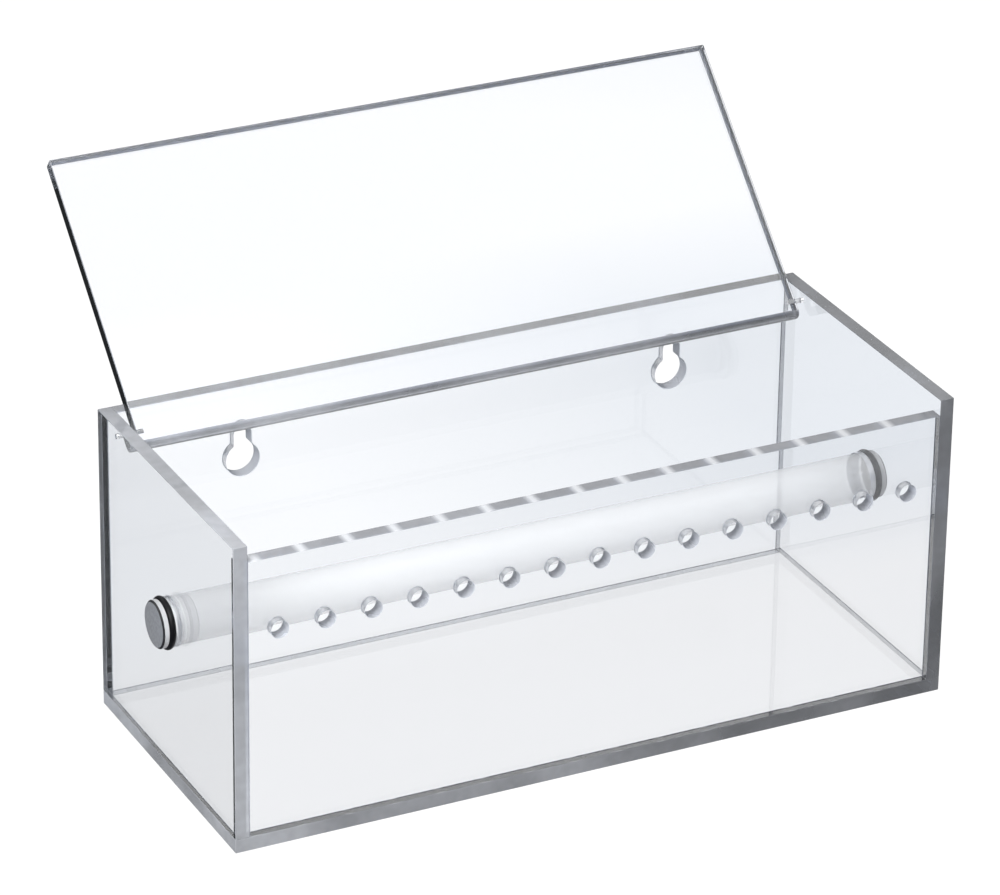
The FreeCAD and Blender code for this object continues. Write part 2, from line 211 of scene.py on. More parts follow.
class Shell:
    """The patches of one piece, gathered as grids of points and then merged into one closed mesh."""

    def __init__(self):
        self.points, self.quads, self.smooth, self.finish = [], [], [], []
        self.count = 0

    def add(self, grid, smooth=False, finish=0, closed=False, keep=None):
        """Adds a (rows, columns, 3) grid as quads. closed joins the last column to the first, and keep
        is a mask of the quads that stay."""
        rows, columns = grid.shape[:2]
        index = np.arange(rows * columns).reshape(rows, columns) + self.count
        if closed:
            index = np.concatenate([index, index[:, :1]], axis=1)
        quads = np.stack([index[:-1, :-1], index[1:, :-1], index[1:, 1:], index[:-1, 1:]], axis=-1)
        quads = quads.reshape(-1, 4) if keep is None else quads[keep]
        self.points.append(grid.reshape(-1, 3))
        self.quads.append(quads)
        self.smooth.append(np.full(len(quads), smooth))
        self.finish.append(np.full(len(quads), finish))
        self.count += rows * columns

    def piece(self, name, finishes, turn=None):
        """The object: doubles merged, faces outward, placed by the turn matrix in its own mesh. finishes
        names its materials, which add's finish counts from 0."""
        mesh = bpy.data.meshes.new(name)
        mesh.from_pydata(np.concatenate(self.points).tolist(), [], np.concatenate(self.quads).tolist())
        mesh.polygons.foreach_set("use_smooth", np.concatenate(self.smooth))
        mesh.polygons.foreach_set("material_index", np.concatenate(self.finish).astype(np.int32))
        work = bmesh.new()
        work.from_mesh(mesh)
        bmesh.ops.remove_doubles(work, verts=work.verts, dist=MERGE)
        bmesh.ops.dissolve_degenerate(work, edges=work.edges, dist=MERGE / 10)
        bmesh.ops.recalc_face_normals(work, faces=work.faces)
        work.to_mesh(mesh)
        work.free()
        if turn is not None:
            mesh.transform(turn)
        mesh.update()
        for finish in finishes:
            mesh.materials.append(finish_of(finish))
        made = bpy.data.objects.new(name, mesh)
        bpy.context.scene.collection.objects.link(made)
        return made


def round_angles(steps):
    """The angles of a quarter circle."""
    return np.linspace(0.0, np.pi / 2, steps + 1)


def circle_outline(radius):
    """A hole's outline as a function of direction: the points at that radius, and the way into the
    material, which for a circle is straight outward."""

    def outline(angles):
        way = np.stack([np.cos(angles), np.sin(angles)], axis=-1)
        return radius * way, way

    return outline


def keyhole_outline(radius, slot, travel, shoulder):
    """A keyhole's outline as a function of direction from the round part's centre.

    Its right half is four stretches: the round part's arc, the shoulder's arc that bulges into the
    hole, the slot's straight side, and the arc of the slot's end. The left half mirrors it. Points at
    the directions asked for are read off it by interpolation.
    """
    half = slot / 2
    height = math.sqrt((radius + shoulder) ** 2 - (half + shoulder) ** 2)
    meet = math.atan2(height, half + shoulder)
    count = 400

    def stretch(centre, size, start, end, into):
        """An arc, and the way into the material, which is outward for 1 and inward for -1."""
        angles = np.linspace(start, end, count)
        way = np.stack([np.cos(angles), np.sin(angles)], axis=-1)
        return np.array(centre) + size * way, into * way

    side = np.stack([np.full(count, half), np.linspace(height, travel, count)], axis=-1)
    parts = [
        stretch((0, 0), radius, -np.pi / 2, meet, 1),
        stretch((half + shoulder, height), shoulder, meet + np.pi, np.pi, -1),
        (side, np.tile([1.0, 0.0], (count, 1))),
        stretch((0, travel), half, 0, np.pi / 2, 1),
    ]
    points = np.concatenate([part[0] for part in parts])
    into = np.concatenate([part[1] for part in parts])
    points = np.concatenate([points, points[::-1] * [-1, 1]])
    into = np.concatenate([into, into[::-1] * [-1, 1]])
    direction = np.unwrap(np.arctan2(points[:, 1], points[:, 0]))

    def outline(angles):
        turned = np.mod(angles - direction[0], 2 * np.pi) + direction[0]
        read = [np.interp(turned, direction, values) for values in (*points.T, *into.T)]
        way = np.stack(read[2:], axis=-1)
        return np.stack(read[:2], axis=-1), way / np.linalg.norm(way, axis=1, keepdims=True)

    return outline


class Cutout:
    """A hole in a slab: the axis it is drilled along, its centre and outline on the face, the lines of
    the rectangle of face that is worked round it, and how deep it goes from which side (None: through).

    A hole in a face of another shape has that face's own border instead of the rectangle's lines, and
    finish is the wall's.
    """

    def __init__(self, axis, centre, outline, lines, rim, depth=None, side=1, border=None, finish=2):
        self.axis, self.centre, self.outline, self.rim = axis, np.array(centre), outline, rim
        self.finish = finish
        if border is None:
            self.lines = [self.centre[0] + lines[0], self.centre[1] + lines[1]]
        self.depth, self.side, self.own_border = depth, side, border

    def border(self):
        """The rectangle's points in order: up its right side, along its top, down its left, and back."""
        if self.own_border is not None:
            return self.own_border
        across, along = self.lines
        sides = [
            (np.full(len(along) - 1, across[-1]), along[:-1]),
            (across[:0:-1], np.full(len(across) - 1, along[-1])),
            (np.full(len(along) - 1, across[0]), along[:0:-1]),
            (across[:-1], np.full(len(across) - 1, along[0])),
        ]
        return np.concatenate([np.stack(side, axis=-1) for side in sides])

    def covers(self, across, along):
        """A mask of the grid's quads that the rectangle takes the place of."""
        inside = []
        for lines, own in ((across, self.lines[0]), (along, self.lines[1])):
            middle = (lines[:-1] + lines[1:]) / 2
            inside.append((middle > own[0]) & (middle < own[-1]))
        return inside[0][:, None] & inside[1][None, :]


def square_lines(half, count):
    """Lines either side of a centre, spaced as the tangents of equal angles, so that the directions to
    the points of the square are evenly spread."""
    lines = half * np.tan(np.linspace(-np.pi / 4, np.pi / 4, count + 1))
    return lines, lines


def lay(axis, across, along, level):
    """Points in space from two face coordinates and the level along the drilled axis."""
    grid = np.empty(np.broadcast(across, along, level).shape + (3,))
    grid[..., axis] = level
    grid[..., (axis + 1) % 3] = across
    grid[..., (axis + 2) % 3] = along
    return grid


def drilled(axis, centre, radius, reach, count, rim, **more):
    """A round hole. The square of face worked round it reaches that many radii and is cut into count
    strips each way."""
    return Cutout(axis, centre, circle_outline(radius), square_lines(radius * reach, count), rim, **more)


def cut_hole(shell, cutout, low, high, steps):
    """Works a hole: flat rings blend from the rectangle to the rim, where the rim's quarter round
    starts, and the wall is the outline carried down through the sheet."""
    border = cutout.border()
    offset = border - cutout.centre
    outline, into = cutout.outline(np.arctan2(offset[:, 1], offset[:, 0]))
    mouth = cutout.centre + outline + cutout.rim * into
    share = np.linspace(0.0, 1.0, MOUTH_RINGS + 1)[:, None, None] ** 0.6
    flat = (1 - share) * border + share * mouth
    sides = (-1, 1) if cutout.depth is None else (cutout.side,)
    for side in sides:
        level = high[cutout.axis] if side > 0 else low[cutout.axis]
        shell.add(lay(cutout.axis, flat[..., 0], flat[..., 1], level), closed=True)
    turn = round_angles(steps)
    out, down = cutout.rim * np.sin(turn), cutout.rim * (1 - np.cos(turn))
    guard = cutout.rim * 0.5
    if cutout.depth is None:
        thickness = high[cutout.axis] - low[cutout.axis]
        out = np.concatenate([out, [cutout.rim] * 2, out[::-1]])
        walls = [down[-1] + guard, thickness - down[-1] - guard]
        down = np.concatenate([down, walls, thickness - down[::-1]])
        level, way = high[cutout.axis], -1
    else:
        out = np.concatenate([out, [cutout.rim] * 3])
        down = np.concatenate([down, [down[-1] + guard, cutout.depth - guard, cutout.depth]])
        level, way = (high if cutout.side > 0 else low)[cutout.axis], -cutout.side
    wall = mouth[None] - out[:, None, None] * into[None]
    shell.add(lay(cutout.axis, wall[..., 0], wall[..., 1], (level + way * down)[:, None]),
              smooth=True, finish=cutout.finish, closed=True)
    if cutout.depth is not None:
        middle = np.broadcast_to(cutout.centre, wall[-1].shape)
        bottom = np.stack([wall[-1], (wall[-1] + middle) / 2, middle])
        shell.add(lay(cutout.axis, bottom[..., 0], bottom[..., 1], level + way * cutout.depth),
                  finish=cutout.finish, closed=True)


def slab(low, high, arris, steps, cutouts, worked):
    """A sheet with rounded arrises and its holes.

    Its faces are flat grids on three sets of lines. Along each edge a quarter circle is carried from
    one face to the next, and each corner is an eighth of a sphere of the same radius. worked gives the
    finish of each of the six sides, of which the two broad ones are always clear.
    """
    shell = Shell()
    low, high = np.array(low, float), np.array(high, float)
    broad = int(np.argmin(high - low))
    lines = [[low[axis] + arris, high[axis] - arris] for axis in range(3)]
    for cutout in cutouts:
        for turn, own in enumerate(cutout.lines):
            lines[(cutout.axis + 1 + turn) % 3].extend(own)
    lines = [np.unique(np.round(values, 9)) for values in lines]
    for cutout in cutouts:
        cutout.lines = [np.round(own, 9) for own in cutout.lines]
    for axis in range(3):
        across, along = lines[(axis + 1) % 3], lines[(axis + 2) % 3]
        for side, level, finish in ((-1, low[axis], worked[axis]), (1, high[axis], worked[axis + 3])):
            keep = np.ones((len(across) - 1, len(along) - 1), bool)
            for cutout in cutouts:
                if cutout.axis == axis and (cutout.depth is None or cutout.side == side):
                    keep &= ~cutout.covers(across, along)
            shell.add(lay(axis, across[:, None], along[None, :], level),
                      finish=0 if axis == broad else finish, keep=keep)
    turn = round_angles(steps)
    inner = {-1: low + arris, 1: high - arris}
    signs = [(one, two) for one in (-1, 1) for two in (-1, 1)]
    for axis in range(3):
        for one, two in signs:
            across = inner[one][(axis + 1) % 3] + one * arris * np.cos(turn)
            along = inner[two][(axis + 2) % 3] + two * arris * np.sin(turn)
            shell.add(lay(axis, across[:, None], along[:, None], lines[axis][None, :]),
                      smooth=True, finish=1)
    for one, two in signs:
        for three in (-1, 1):
            ball = np.stack([
                inner[one][0] + one * arris * np.cos(turn)[:, None] * np.cos(turn)[None, :],
                inner[two][1] + two * arris * np.cos(turn)[:, None] * np.sin(turn)[None, :],
                inner[three][2] + three * arris * np.sin(turn)[:, None] * np.ones_like(turn)[None, :],
            ], axis=-1)
            shell.add(ball, smooth=True, finish=1)
    for cutout in cutouts:
        cut_hole(shell, cutout, low, high, steps)
    return shell


def lid_profile(thickness, width, arris, easing, rounding, steps, hinge):
    """The lid's cross-section as stretches of points, the ways out of them and the easing at its ends.

    Going round it: the underside, the free edge with a small and a large quarter circle, the outer
    face, and the hinge edge with two large quarter circles. Along the faces the points are spaced as
    the tangents of equal angles seen from the hinge pin. The easing grows from the arris, on the
    underside, to the full easing, on the outer face.
    """
    turn = round_angles(steps)
    wide_turn = round_angles(4 * steps)

    def face(depth, start, end, reach):
        """Points from start to end, reach being the hinge pin's distance from the face."""
        angles = np.arctan((np.array([start, end]) - hinge[1]) / reach)
        places = hinge[1] + reach * np.tan(np.linspace(*angles, LID_POINTS))
        return np.stack([np.full(LID_POINTS, depth), places], axis=-1)

    def corner(centre, radius, start, angles):
        """An arc, turned on from the way to the underside by start, and its ways out."""
        way = np.stack([-np.cos(start + angles), np.sin(start + angles)], axis=-1)
        return np.array(centre) + radius * way, way

    under = face(0.0, rounding, width - arris, hinge[0])
    outer = face(thickness, width - easing, rounding, thickness - hinge[0])
    free = [corner((arris, width - arris), arris, 0.0, turn),
            corner((thickness - easing, width - easing), easing, np.pi / 2, turn)]
    back = [corner((thickness - rounding, rounding), rounding, np.pi, wide_turn),
            corner((rounding, rounding), rounding, 1.5 * np.pi, wide_turn)]
    upward = np.tile([1.0, 0.0], (LID_POINTS, 1))
    stretches = [(under, -upward, 0), (*map(np.concatenate, zip(*free)), 1),
                 (outer, upward, 0), (*map(np.concatenate, zip(*back)), 1)]
    grown = []
    for points, way, finish in stretches:
        share = points[:, :1] / thickness
        grown.append((points, way, arris + (easing - arris) * share, finish))
    return grown


def eased_lid(half, profile, steps):
    """The lid's surface: its cross-section carried along its length, and drawn in at both ends.

    At an end, each point of the section goes along a quarter circle of its own easing, inward and out
    to the end face at once. Returns the shell and the border that this leaves for the end faces.
    """
    shell = Shell()
    turn = round_angles(steps)[:, None]
    ends = []
    for points, way, easing, finish in profile:
        easing = easing[:, 0]
        drawn = points[None] - (easing * (1 - np.cos(turn)))[..., None] * way[None]
        reach = half - easing * (1 - np.sin(turn))
        for side in (-1, 1):
            shell.add(lay(0, drawn[..., 0], drawn[..., 1], side * reach), smooth=True, finish=1)
        spine = np.stack([points, points])
        shell.add(lay(0, spine[..., 0], spine[..., 1], np.stack([-reach[0], reach[0]])),
                  smooth=finish == 1, finish=finish)
        ends.append(drawn[-1])
    return shell, np.concatenate(ends)


def eased(corners, radius, steps):
    """A profile whose inner corners are each replaced by a small curve.

    The curve runs from a point before the corner to a point after it, both the radius away, and is the
    quadratic blend of those two and the corner. A point just outside each end of it keeps the flats flat.
    """
    corners = np.array(corners, float)
    rows = [corners[:1]]
    blend = np.linspace(0.0, 1.0, steps + 1)[:, None]
    for before, corner, after in zip(corners[:-2], corners[1:-1], corners[2:]):
        back = (before - corner) / np.linalg.norm(before - corner)
        on = (after - corner) / np.linalg.norm(after - corner)
        start, end = corner + radius * back, corner + radius * on
        curve = (1 - blend) ** 2 * start + 2 * blend * (1 - blend) * corner + blend ** 2 * end
        rows += [start[None] + 0.4 * radius * back, curve, end[None] + 0.4 * radius * on]
    return np.concatenate(rows + [corners[-1:]])


def turned(profile, centre, segments, worked=None):
    """A turned piece: a profile of places along X and radii, carried round an axis along X. worked
    gives the finish of each stretch of the profile, or None where they are all the same."""
    shell = Shell()
    angles = np.linspace(0.0, 2 * np.pi, segments, endpoint=False)
    place, radius = profile[:, :1], profile[:, 1:]
    grid = np.stack([
        np.broadcast_to(place, (len(profile), segments)),
        centre[1] + radius * np.cos(angles),
        centre[2] + radius * np.sin(angles),
    ], axis=-1)
    if worked is None:
        worked = np.zeros(len(profile) - 1, int)
    for finish in np.unique(worked):
        keep = np.repeat((worked == finish)[:, None], segments, axis=1)
        shell.add(grid, smooth=True, finish=finish, closed=True, keep=keep)
    return shell


# ---------------------------------------------------------------- finishes


class Wiring:
    """Short ways to wire a tree of nodes. node and feed give back the node, and the others after them
    an output to wire on."""

    def __init__(self, tree):
        self.tree = tree

    def give(self, entry, value):
        """Links another node's output to an entry, or sets the entry to a plain value. A colour's three
        numbers get their fourth."""
        if isinstance(value, bpy.types.NodeSocket):
            self.tree.links.new(value, entry)
        else:
            entry.default_value = (*value, 1) if entry.type == "RGBA" else value

    def feed(self, node, **values):
        """Gives a node's entries the values of their names, and sets any other value on the node itself."""
        for key, value in values.items():
            name = key.replace("_", " ")
            if name in node.inputs:
                self.give(node.inputs[name], value)
            else:
                setattr(node, key, value)
        return node

    def node(self, kind, **values):
        """A new node, set as feed sets it."""
        return self.feed(self.tree.nodes.new(kind), **values)

    def ranged(self, source, low, high, to_low, to_high):
        """The source, from low to high, brought to a new range."""
        return self.node("ShaderNodeMapRange", Value=source, From_Min=low, From_Max=high,
                         To_Min=to_low, To_Max=to_high).outputs["Result"]

    def mix(self, factor, one, other, kind="RGBA"):
        """The blend from one colour to the other, or number if kind is FLOAT, by the factor."""
        return self.node("ShaderNodeMix", data_type=kind, Factor=factor, A=one, B=other).outputs["Result"]

    def bands(self, source, stops):
        """Colours blended along the source, from (value, colour) stops."""
        first, last = stops[0][0], stops[-1][0]
        ramp = self.node("ShaderNodeValToRGB", Fac=self.ranged(source, first, last, 0.0, 1.0))
        elements = ramp.color_ramp.elements
        while len(elements) < len(stops):
            elements.new(0.5)
        for element, (value, colour) in zip(elements, stops):
            element.position = (value - first) / (last - first)
            element.color = (*colour, 1)
        return ramp.outputs["Color"]

    def math(self, operation, one, other):
        """One value worked on by the other."""
        made = self.node("ShaderNodeMath", operation=operation)
        self.give(made.inputs[0], one)
        self.give(made.inputs[1], other)
        return made.outputs[0]


class Finish(Wiring):
    """A new material, whose patterns stand on the piece's own coordinates."""

    def __init__(self, name):
        self.material = bpy.data.materials.new(name)
        self.material.use_nodes = True
        super().__init__(self.material.node_tree)
        self.tree.nodes.clear()
        self.shader = self.node("ShaderNodeBsdfPrincipled")
        self.output = self.node("ShaderNodeOutputMaterial", Surface=self.shader.outputs["BSDF"])
        self.place = self.node("ShaderNodeTexCoord").outputs["Object"]

    def axes(self):
        """The coordinates X, Y and Z, each an output."""
        return self.node("ShaderNodeSeparateXYZ", Vector=self.place).outputs

    def noise(self, scale, detail=1.0, stretch=(1, 1, 1)):
        """Noise in cycles per metre along each axis."""
        cycles = [scale * value for value in stretch]
        mapping = self.node("ShaderNodeMapping", Vector=self.place, Scale=cycles)
        texture = self.node("ShaderNodeTexNoise", Vector=mapping.outputs["Vector"], Scale=1.0, Detail=detail)
        return texture.outputs["Fac"]

    def roughen(self, source, low, high, least, most):
        """The shader's roughness, from least to most as the source goes from low to high."""
        self.feed(self.shader, Roughness=self.ranged(source, low, high, least, most))

    def emboss(self, source, strength, depth):
        """The shader's bump, whose height is the source."""
        bump = self.node("ShaderNodeBump", Height=source, Strength=strength, Distance=depth)
        self.feed(self.shader, Normal=bump.outputs["Normal"])


def clear_body(finish, finishes):
    """What all the acrylic shares: full transmission, its index and its tint."""
    finish.feed(finish.shader, Base_Color=(1, 1, 1), Transmission_Weight=1.0, IOR=finishes.ior)
    tint = finish.node("ShaderNodeVolumeAbsorption", Color=finishes.tint, Density=finishes.tint_strength)
    finish.feed(finish.output, Volume=tint.outputs["Volume"])


def sheet_face(finish, finishes):
    """The sheet's cast face: all but perfect, with a slow waviness and faint hairlines."""
    clear_body(finish, finishes)
    finish.roughen(finish.noise(260.0, 2.0, (0.12, 1.0, 1.6)), 0.66, 0.80, 0.0, 0.05)
    finish.emboss(finish.noise(28.0), 0.05, 0.0004)


def worked_acrylic(finish, finishes, clear, tones, rough, ripple_scale, shade_fall=(1.0, 1.0), glints=None):
    """Acrylic that a saw or a drill has worked: part clear and part grey haze, in soft patches.

    clear and rough are the least and most clearness and roughness, tones the haze's two greys, and
    ripple_scale how many ripples the tool has left to the metre. shade_fall scales the haze at the box's
    left and right ends, painted light and shade that makes the edges lighter at the left end and darker at
    the right. glints are the pitch, the first and last place and the half width of a row of painted glints,
    pale spots along X.
    """
    clear_body(finish, finishes)
    ripple, along = finish.noise(ripple_scale), finish.axes()["X"]
    clearness = finish.ranged(finish.noise(24.0), 0.36, 0.64, *clear)
    haze = finish.mix(finish.ranged(ripple, 0.35, 0.65, 0.0, 1.0), *tones)
    # painted light and shade: the haze's colour is scaled along X, lighter toward the box's left end and darker
    # toward its right end
    colour = finish.node("ShaderNodeVectorMath", operation="SCALE", Vector=haze,
                         Scale=finish.ranged(along, -SHADE_FALL_HALF, SHADE_FALL_HALF, *shade_fall)).outputs["Vector"]
    # painted glints: pale spots blended into the edge's colour and clearness at each outlet's place
    if glints is not None:
        pitch, first, last, half = glints
        fold = finish.math("PINGPONG", finish.math("SUBTRACT", along, first), pitch / 2)
        spots = finish.ranged(fold, half * 0.2, half, 0.8, 0.0)
        glint = finish.math("MULTIPLY", spots, finish.ranged(along, last + half, last + 2 * half, 1.0, 0.0))
        colour = finish.mix(glint, colour, (0.92, 0.94, 0.97))
        clearness = finish.mix(glint, clearness, 0.2, "FLOAT")
    finish.feed(finish.shader, Base_Color=colour, Transmission_Weight=clearness)
    finish.roughen(ripple, 0.35, 0.7, *rough)
    finish.emboss(ripple, 0.06, 0.0003)


def sheet_edge(finish, finishes):
    """The sheet's sawn and flame-polished edge: glossy, a grey haze over dark clear depths."""
    tones = ((0.60, 0.62, 0.66), (0.66, 0.68, 0.73))
    # painted light and shade: the haze is lighter at the box's left end and darker at its right end
    worked_acrylic(finish, finishes, (0.48, 0.70), tones, (0.0, 0.05), 260.0, (1.1, 0.6))


def outlet_edge(finish, finishes):
    """The front sheet's edge, with painted glints along its top: pale spots in its colour where the outlets below
    would throw up light.
    """
    tones = ((0.52, 0.54, 0.59), (0.58, 0.60, 0.65))
    places = sorted(mount["pos_m"][0] for name, mount in MOUNTS.items() if name.startswith("thread_outlet"))
    # painted glints: pale spots just left of each outlet
    glints = (places[1] - places[0], places[0] - GLINT_SHIFT, places[-1] - GLINT_SHIFT, GLINT_HALF)
    # painted shade: the haze is darker toward the box's right end
    worked_acrylic(finish, finishes, (0.48, 0.60), tones, (0.0, 0.05), 260.0, (1.0, 0.8), glints)


def drilled_wall(finish, finishes):
    """The wall of a drilled or routed hole: a pale frost."""
    tones = ((0.74, 0.77, 0.84), (0.78, 0.81, 0.87))
    worked_acrylic(finish, finishes, (0.36, 0.46), tones, (0.25, 0.35), 120.0)


def rod_finish(finish, finishes):
    """The rod's drawn surface: polished, with faint draw lines along its length."""
    clear_body(finish, finishes)
    lines = finish.noise(900.0, stretch=(0.004, 1.0, 1.0))
    finish.roughen(lines, 0.35, 0.75, 0.0, 0.02)
    finish.emboss(lines, 0.03, 0.0002)


def rod_end_finish(finish, finishes):
    """The rod's sawn end: an even grey frost."""
    tones = ((0.22, 0.23, 0.25), (0.27, 0.28, 0.30))
    worked_acrylic(finish, finishes, (0.10, 0.20), tones, (0.12, 0.22), 1500.0)


def chamfer_painted_dark(finish, finishes):
    """The rod's chamfers, painted dark: a near-black colour that stands in for the dark inside of the end seen
    through them.
    """
    tones = ((0.015, 0.015, 0.017), (0.03, 0.03, 0.033))
    worked_acrylic(finish, finishes, (0.10, 0.25), tones, (0.05, 0.12), 1500.0)


def rubber_finish(finish, finishes):
    """Moulded black rubber, satin with a fine grain and a little bloom."""
    grain = finish.noise(5200.0, 4.0)
    bloom = finish.ranged(finish.noise(700.0, 3.0), 0.4, 0.75, 0.0, 1.0)
    colour = finish.mix(bloom, finishes.rubber, [value * 1.8 for value in finishes.rubber])
    finish.feed(finish.shader, Base_Color=colour, Specular_IOR_Level=0.18)
    finish.roughen(grain, 0.3, 0.7, 0.34, 0.52)
    finish.emboss(grain, 0.25, 0.00003)


MAKERS = {
    "clear_acrylic_face": sheet_face,
    "clear_acrylic_edge": sheet_edge,
    "clear_acrylic_outlet_edge": outlet_edge,
    "clear_acrylic_drilled": drilled_wall,
    "clear_acrylic_rod": rod_finish,
    "sawn_acrylic_end": rod_end_finish,
    "cut_acrylic_chamfer": chamfer_painted_dark,
    "moulded_black_rubber": rubber_finish,
}


def finish_of(name):
    """The material of that name, made the first time it is asked for."""
    material = bpy.data.materials.get(name)
    if material is None:
        finish = Finish(name)
        MAKERS[name](finish, settings()[1])
        material = finish.material
    return material


def sheet_finishes(edge="clear_acrylic_edge"):
    """A sheet's three finishes: 0 its faces, 1 its worked edges and 2 its drilled walls."""
    return "clear_acrylic_face", edge, "clear_acrylic_drilled"


def settle(piece, body, slot, *nodes):
    """The piece rides on its body and stands for its nodes. slot is not used."""
    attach(piece, body)
    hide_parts(*nodes)


# ---------------------------------------------------------------- pieces


def build_panel(node, cutouts=(), sink=(0,) * 6, worked=None, finishes=sheet_finishes()):
    """One of the box's sheets: its node's box, with each of its six sides sunk into the next sheet where
    sink is 1. worked is the sides' finishes, by default clear where sunk and sawn elsewhere."""
    sizes = settings()[0]
    low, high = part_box(node)
    low = np.array(low) - np.array(sink[:3]) * sizes.bond
    high = np.array(high) + np.array(sink[3:]) * sizes.bond
    worked = worked or [1 - sunk for sunk in sink]
    shell = slab(low, high, sizes.arris, sizes.arc_steps, cutouts, worked)
    piece = shell.piece(f"{node}_sheet", finishes)
    settle(piece, "box", "clear_acrylic_sheet", node)


class SPOOLBOX_OT_base_panel(bpy.types.Operator):
    """Build the base sheet"""

    bl_idname = "spoolbox.base_panel"
    bl_label = "Base panel"

    def execute(self, context):
        # its rear edge has the frost of a drilled wall
        build_panel("base_panel", worked=(1, 1, 1, 1, 2, 1))
        return {"FINISHED"}


class SPOOLBOX_OT_front_panel(bpy.types.Operator):
    """Build the front sheet with its row of thread outlets"""

    bl_idname = "spoolbox.front_panel"
    bl_label = "Front panel"

    def execute(self, context):
        sizes = settings()[0]
        cutouts = []
        for name, mount in MOUNTS.items():
            if name.startswith("thread_outlet"):
                radius = mount["dims"]["r_mm"] * MM
                x, _, z = mount["pos_m"]
                cutouts.append(drilled(1, (z, x), radius, 1.7, 16, sizes.rim))
        build_panel("front_panel", cutouts, sink=(1, 0, 1, 1, 0, 0),
                    finishes=sheet_finishes("clear_acrylic_outlet_edge"))
        return {"FINISHED"}


class SPOOLBOX_OT_back_panel(bpy.types.Operator):
    """Build the back sheet with its two keyholes"""

    bl_idname = "spoolbox.back_panel"
    bl_label = "Back panel"

    def execute(self, context):
        sizes = settings()[0]
        cutouts = []
        for name in ("keyhole_left", "keyhole_right"):
            mount = MOUNTS[name]
            radius = mount["dims"]["r_mm"] * MM
            x, _, z = mount["pos_m"]
            upright = keyhole_outline(radius, sizes.slot_width, sizes.slot_travel, sizes.slot_shoulder)

            def outline(angles, upright=upright):
                """The upright keyhole with its two coordinates swapped."""
                points, into = upright(np.pi / 2 - angles)
                return points[:, ::-1], into[:, ::-1]

            top = sizes.slot_travel + sizes.slot_width
            lines = (np.linspace(-radius * 1.5, top, 40), np.linspace(-radius * 1.5, radius * 1.5, 32))
            cutouts.append(Cutout(1, (z, x), outline, lines, sizes.rim))
        build_panel("back_panel", cutouts, sink=(1, 0, 1, 1, 0, 0))
        return {"FINISHED"}


class SPOOLBOX_OT_side_panels(bpy.types.Operator):
    """Build the two side sheets, each with the rod's hole and a blind hinge socket"""

    bl_idname = "spoolbox.side_panels"
    bl_label = "Side panels"

    def execute(self, context):
        sizes = settings()[0]
        rod_low, rod_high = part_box("rod")
        rod_radius = (rod_high.z - rod_low.z) / 2
        pin_low, pin_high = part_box("hinge_pin_left")
        pin_radius = (pin_high.z - pin_low.z) / 2
        for node, inner in (("left_side_panel", 1), ("right_side_panel", -1)):
            hole = rod_radius + sizes.rod_clearance
            socket = pin_radius + sizes.socket_clearance
            cutouts = [
                drilled(0, ROD_CENTRE[1:], hole, 1.5, 28, sizes.rim),
                drilled(0, HINGE_CENTRE[1:], socket, 2, 8, sizes.rim / 2, depth=sizes.socket_depth,
                        side=inner, finish=0),
            ]
            build_panel(node, cutouts, sink=(0, 0, 1, 0, 0, 0))
        return {"FINISHED"}


def lid_place():
    """The lid's lean as a turn matrix, its width and its thickness, read from its corners.

    The highest corner and the one furthest back are the free edge's front and rear corners. The line
    between them crosses the sheet, and the lid reaches down square to it.
    """
    corners = np.array([vertex.co for vertex in frame["nodes"]["lid"].data.vertices])
    front, rear = corners[np.argmax(corners[:, 2])], corners[np.argmax(corners[:, 1])]
    across = (rear - front)[1:]
    lean = math.atan2(-across[1], across[0])
    up = np.array([math.sin(lean), math.cos(lean)])
    width = float(np.ptp(corners[:, 1:] @ up))
    foot = front[1:] - width * up
    turn = Matrix.Translation((0, *foot)) @ Matrix.Rotation(-lean, 4, "X")
    return turn, width, float(np.linalg.norm(across))


class SPOOLBOX_OT_lid(bpy.types.Operator):
    """Build the lid with the bores of its two hinge pins"""

    bl_idname = "spoolbox.lid"
    bl_label = "Lid"

    def execute(self, context):
        sizes = settings()[0]
        turn, width, thickness = lid_place()
        low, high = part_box("lid")
        pin_low, pin_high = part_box("hinge_pin_left")
        radius = (pin_high.z - pin_low.z) / 2 - sizes.bond
        hinge = (turn.inverted() @ Vector(HINGE_CENTRE))[1:]
        profile = lid_profile(thickness, width, sizes.arris, sizes.lid_easing, sizes.lid_rounding,
                              sizes.arc_steps, hinge)
        shell, border = eased_lid(high.x, profile, sizes.arc_steps)
        for side in (-1, 1):
            bore = Cutout(0, hinge, circle_outline(radius), None, sizes.rim / 2,
                          depth=pin_high.x - low.x, side=side, border=border, finish=0)
            cut_hole(shell, bore, low, high, sizes.arc_steps)
        piece = shell.piece("lid_sheet", sheet_finishes(), turn)
        settle(piece, "lid", "clear_acrylic_sheet", "lid")
        return {"FINISHED"}


class SPOOLBOX_OT_hinge_pins(bpy.types.Operator):
    """Build the two clear hinge pins"""

    bl_idname = "spoolbox.hinge_pins"
    bl_label = "Hinge pins"

    def execute(self, context):
        sizes = settings()[0]
        for node in ("hinge_pin_left", "hinge_pin_right"):
            low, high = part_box(node)
            radius, ease = (high.z - low.z) / 2, sizes.rim
            # a plain cylinder with both ends chamfered, from one end's middle to the other's
            corners = [(low.x, 0), (low.x, radius - ease), (low.x + ease, radius),
                       (high.x - ease, radius), (high.x, radius - ease), (high.x, 0)]
            shell = turned(eased(corners, ease / 3, 2), HINGE_CENTRE, 40)
            piece = shell.piece(f"{node}_clear", ["clear_acrylic_rod"])
            settle(piece, "lid", "clear_acrylic_rod", node)
        return {"FINISHED"}


